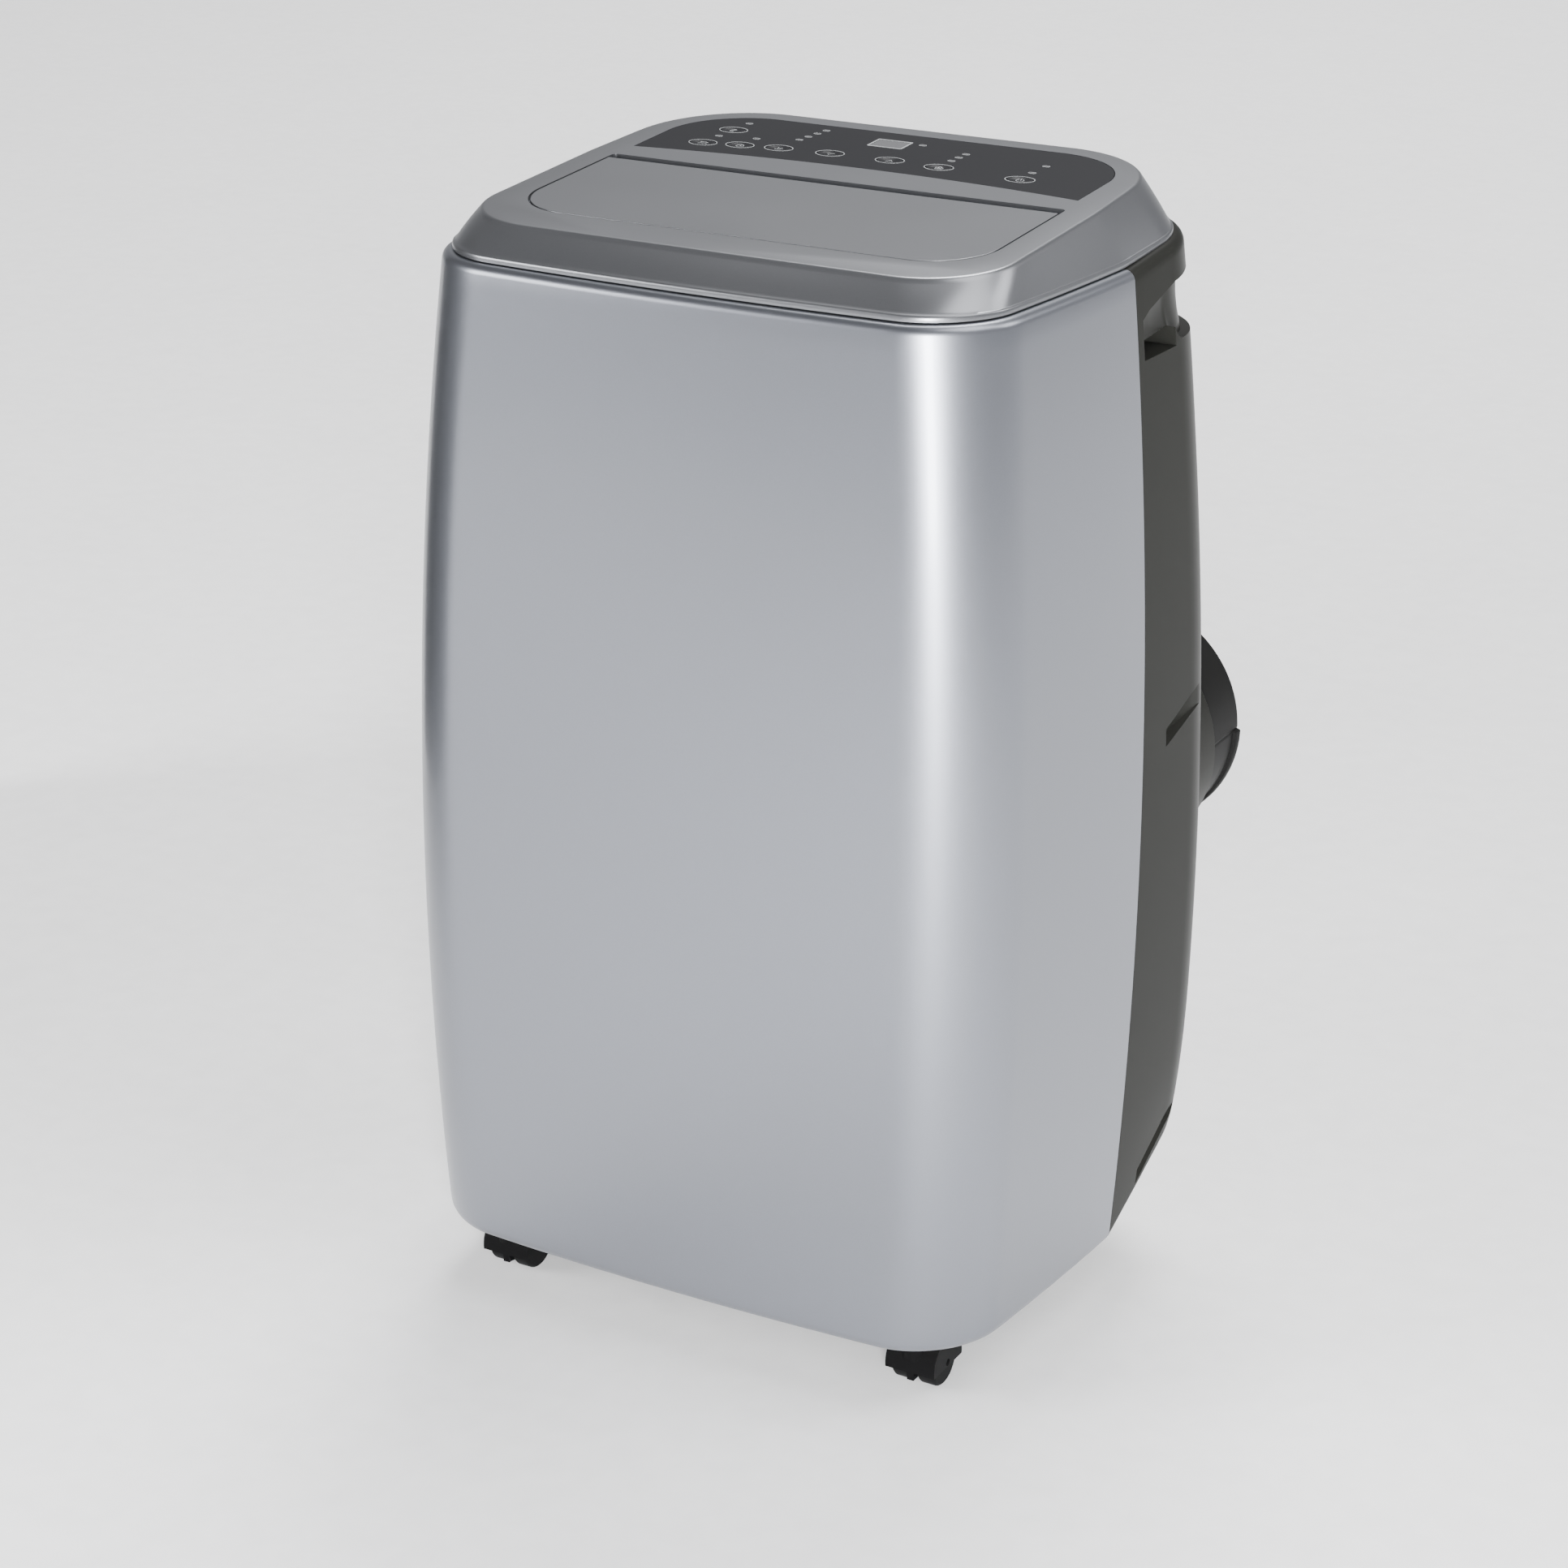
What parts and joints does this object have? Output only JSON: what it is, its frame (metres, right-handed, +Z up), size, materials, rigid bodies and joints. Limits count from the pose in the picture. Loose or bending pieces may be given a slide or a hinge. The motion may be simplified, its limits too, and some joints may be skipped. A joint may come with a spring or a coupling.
{
  "type": "portable air conditioner",
  "caption": "Portable air conditioner: tall rounded cabinet on castors, folding outlet flap and push buttons on top, hose adapter and intake grilles behind.",
  "frame": {"origin": "centre of the overall box on the floor, under the castor wheels", "axes": "+Z up, front of the cabinet towards -Y, exhaust adapter towards +Y, power button side +X"},
  "size_m": [0.4692, 0.425, 0.7639],
  "materials": {
    "silver_paint": "silver metallic, satin",
    "charcoal_plastic": "fine grained",
    "satin_grey_plastic": "satin",
    "fascia_black": "satin black",
    "smoked_window": "smoked, clear",
    "lamp_diffuser": "milky",
    "circuit_board": "lacquered",
    "inner_black_plastic": "moulded",
    "motor_metal": "zinc plated",
    "black_steel": "satin black paint",
    "black_rubber": "soft",
    "fin_aluminium": "bare sheet",
    "copper_pipe": "copper, lightly tarnished",
    "filter_mesh": "woven nylon mesh",
    "castor_black": "nylon",
    "screw_steel": "zinc plated"
  },
  "bodies": {
    "cabinet": {"front_shell": "silver_paint", "rear_shell": "charcoal_plastic", "top_cover": "satin_grey_plastic", "control_fascia": "fascia_black", "display_window": "smoked_window", "indicator_lights": "lamp_diffuser", "control_board": "circuit_board", "flap_motor": "motor_metal", "outlet_frame": "inner_black_plastic", "base_pan": "inner_black_plastic", "compressor": "black_steel", "compressor_mounts": "black_rubber", "condenser_coil": "fin_aluminium", "evaporator_coil": "fin_aluminium", "refrigerant_pipes": "copper_pipe", "lower_scroll": "inner_black_plastic", "lower_motor": "motor_metal", "upper_scroll": "inner_black_plastic", "upper_motor": "motor_metal", "middle_tray": "inner_black_plastic", "electrical_box": "motor_metal", "run_capacitor": "fin_aluminium", "exhaust_socket": "charcoal_plastic", "cord_gland": "black_rubber", "case_screws": "screw_steel"},
    "flap": {"outlet_flap": "satin_grey_plastic"},
    "vane_1": {"vane_1": "inner_black_plastic"},
    "vane_2": {"vane_2": "inner_black_plastic"},
    "vane_3": {"vane_3": "inner_black_plastic"},
    "vane_4": {"vane_4": "inner_black_plastic"},
    "vane_5": {"vane_5": "inner_black_plastic"},
    "vane_6": {"vane_6": "inner_black_plastic"},
    "vane_link": {"vane_link": "inner_black_plastic"},
    "button_power": {"button_power": "fascia_black"},
    "button_speed": {"button_speed": "fascia_black"},
    "button_up": {"button_up": "fascia_black"},
    "button_down": {"button_down": "fascia_black"},
    "button_mode": {"button_mode": "fascia_black"},
    "button_timer": {"button_timer": "fascia_black"},
    "button_swing": {"button_swing": "fascia_black"},
    "button_sleep": {"button_sleep": "fascia_black"},
    "fork_fl": {"castor_fork_fl": "castor_black"},
    "wheel_fl": {"castor_wheel_fl": "castor_black"},
    "fork_fr": {"castor_fork_fr": "castor_black"},
    "wheel_fr": {"castor_wheel_fr": "castor_black"},
    "fork_rl": {"castor_fork_rl": "castor_black"},
    "wheel_rl": {"castor_wheel_rl": "castor_black"},
    "fork_rr": {"castor_fork_rr": "castor_black"},
    "wheel_rr": {"castor_wheel_rr": "castor_black"},
    "upper_fan": {"upper_fan": "inner_black_plastic"},
    "lower_fan": {"lower_fan": "inner_black_plastic"},
    "upper_intake": {"upper_grille": "charcoal_plastic", "upper_filter": "filter_mesh"},
    "lower_intake": {"lower_grille": "charcoal_plastic", "lower_filter": "filter_mesh"},
    "adapter": {"exhaust_adapter": "charcoal_plastic"},
    "drain_cap_upper": {"drain_cap_upper": "black_rubber"},
    "drain_cap_lower": {"drain_cap_lower": "black_rubber"},
    "float": {"water_float": "lamp_diffuser"}
  },
  "joints": [
    {"name": "flap_hinge", "type": "hinge", "parent": "cabinet", "child": "flap", "pos_m": [0, -0.01402, 0.74636], "axis": [-1, 0, 0], "range_deg": [0, 65]},
    {"name": "vane_1_pivot", "type": "hinge", "parent": "cabinet", "child": "vane_1", "pos_m": [-0.11, -0.06437, 0.72037], "axis": [0, -0.068, 0.9977], "range_deg": [-25, 25]},
    {"name": "vane_2_pivot", "type": "hinge", "parent": "cabinet", "child": "vane_2", "pos_m": [-0.066, -0.06437, 0.72037], "axis": [0, -0.068, 0.9977], "range_deg": [-25, 25]},
    {"name": "vane_3_pivot", "type": "hinge", "parent": "cabinet", "child": "vane_3", "pos_m": [-0.022, -0.06437, 0.72037], "axis": [0, -0.068, 0.9977], "range_deg": [-25, 25]},
    {"name": "vane_4_pivot", "type": "hinge", "parent": "cabinet", "child": "vane_4", "pos_m": [0.022, -0.06437, 0.72037], "axis": [0, -0.068, 0.9977], "range_deg": [-25, 25]},
    {"name": "vane_5_pivot", "type": "hinge", "parent": "cabinet", "child": "vane_5", "pos_m": [0.066, -0.06437, 0.72037], "axis": [0, -0.068, 0.9977], "range_deg": [-25, 25]},
    {"name": "vane_6_pivot", "type": "hinge", "parent": "cabinet", "child": "vane_6", "pos_m": [0.11, -0.06437, 0.72037], "axis": [0, -0.068, 0.9977], "range_deg": [-25, 25]},
    {"name": "vane_link_pin", "type": "hinge", "parent": "vane_1", "child": "vane_link", "pos_m": [-0.11, -0.05278, 0.71214], "axis": [0, -0.068, 0.9977], "range_deg": [-25, 25]},
    {"name": "power_press", "type": "slide", "parent": "cabinet", "child": "button_power", "axis": [0, 0.068, -0.9977], "range_m": [0, 0.0008], "stiffness_N_per_m": 300, "springref_m": -0.0005},
    {"name": "speed_press", "type": "slide", "parent": "cabinet", "child": "button_speed", "axis": [0, 0.068, -0.9977], "range_m": [0, 0.0008], "stiffness_N_per_m": 300, "springref_m": -0.0005},
    {"name": "up_press", "type": "slide", "parent": "cabinet", "child": "button_up", "axis": [0, 0.068, -0.9977], "range_m": [0, 0.0008], "stiffness_N_per_m": 300, "springref_m": -0.0005},
    {"name": "down_press", "type": "slide", "parent": "cabinet", "child": "button_down", "axis": [0, 0.068, -0.9977], "range_m": [0, 0.0008], "stiffness_N_per_m": 300, "springref_m": -0.0005},
    {"name": "mode_press", "type": "slide", "parent": "cabinet", "child": "button_mode", "axis": [0, 0.068, -0.9977], "range_m": [0, 0.0008], "stiffness_N_per_m": 300, "springref_m": -0.0005},
    {"name": "timer_press", "type": "slide", "parent": "cabinet", "child": "button_timer", "axis": [0, 0.068, -0.9977], "range_m": [0, 0.0008], "stiffness_N_per_m": 300, "springref_m": -0.0005},
    {"name": "swing_press", "type": "slide", "parent": "cabinet", "child": "button_swing", "axis": [0, 0.068, -0.9977], "range_m": [0, 0.0008], "stiffness_N_per_m": 300, "springref_m": -0.0005},
    {"name": "sleep_press", "type": "slide", "parent": "cabinet", "child": "button_sleep", "axis": [0, 0.068, -0.9977], "range_m": [0, 0.0008], "stiffness_N_per_m": 300, "springref_m": -0.0005},
    {"name": "swivel_fl", "type": "hinge", "parent": "cabinet", "child": "fork_fl", "pos_m": [-0.159, -0.1615, 0.03], "axis": [0, 0, 1], "continuous": true},
    {"name": "roll_fl", "type": "hinge", "parent": "fork_fl", "child": "wheel_fl", "pos_m": [-0.159, -0.1495, 0.017], "axis": [1, 0, 0], "continuous": true},
    {"name": "swivel_fr", "type": "hinge", "parent": "cabinet", "child": "fork_fr", "pos_m": [0.159, -0.1615, 0.03], "axis": [0, 0, 1], "continuous": true},
    {"name": "roll_fr", "type": "hinge", "parent": "fork_fr", "child": "wheel_fr", "pos_m": [0.159, -0.1495, 0.017], "axis": [1, 0, 0], "continuous": true},
    {"name": "swivel_rl", "type": "hinge", "parent": "cabinet", "child": "fork_rl", "pos_m": [-0.159, 0.0605, 0.03], "axis": [0, 0, 1], "continuous": true},
    {"name": "roll_rl", "type": "hinge", "parent": "fork_rl", "child": "wheel_rl", "pos_m": [-0.159, 0.0725, 0.017], "axis": [1, 0, 0], "continuous": true},
    {"name": "swivel_rr", "type": "hinge", "parent": "cabinet", "child": "fork_rr", "pos_m": [0.159, 0.0605, 0.03], "axis": [0, 0, 1], "continuous": true},
    {"name": "roll_rr", "type": "hinge", "parent": "fork_rr", "child": "wheel_rr", "pos_m": [0.159, 0.0725, 0.017], "axis": [1, 0, 0], "continuous": true},
    {"name": "upper_fan_spin", "type": "hinge", "parent": "cabinet", "child": "upper_fan", "pos_m": [0, -0.0055, 0.56], "axis": [0, 1, 0], "continuous": true},
    {"name": "lower_fan_spin", "type": "hinge", "parent": "cabinet", "child": "lower_fan", "pos_m": [0.11, 0.0285, 0.215], "axis": [0, 1, 0], "continuous": true},
    {"name": "upper_intake_pull", "type": "slide", "parent": "cabinet", "child": "upper_intake", "axis": [0, 1, 0], "range_m": [0, 0.06]},
    {"name": "lower_intake_pull", "type": "slide", "parent": "cabinet", "child": "lower_intake", "axis": [0, 1, 0], "range_m": [0, 0.06]},
    {"name": "adapter_twist", "type": "hinge", "parent": "cabinet", "child": "adapter", "pos_m": [0.131, 0.15201, 0.353], "axis": [0, 1, 0], "range_deg": [0, 25]},
    {"name": "upper_drain_pull", "type": "slide", "parent": "cabinet", "child": "drain_cap_upper", "axis": [0, 1, 0], "range_m": [0, 0.03]},
    {"name": "lower_drain_pull", "type": "slide", "parent": "cabinet", "child": "drain_cap_lower", "axis": [0, 1, 0], "range_m": [0, 0.03]},
    {"name": "float_rise", "type": "slide", "parent": "cabinet", "child": "float", "axis": [0, 0, 1], "range_m": [0, 0.018]}
  ],
  "couplings": [
    {"joint": "vane_2_pivot", "follows": "vane_1_pivot", "ratio": 1},
    {"joint": "vane_3_pivot", "follows": "vane_1_pivot", "ratio": 1},
    {"joint": "vane_4_pivot", "follows": "vane_1_pivot", "ratio": 1},
    {"joint": "vane_5_pivot", "follows": "vane_1_pivot", "ratio": 1},
    {"joint": "vane_6_pivot", "follows": "vane_1_pivot", "ratio": 1},
    {"joint": "vane_link_pin", "follows": "vane_1_pivot", "ratio": -1}
  ]
}
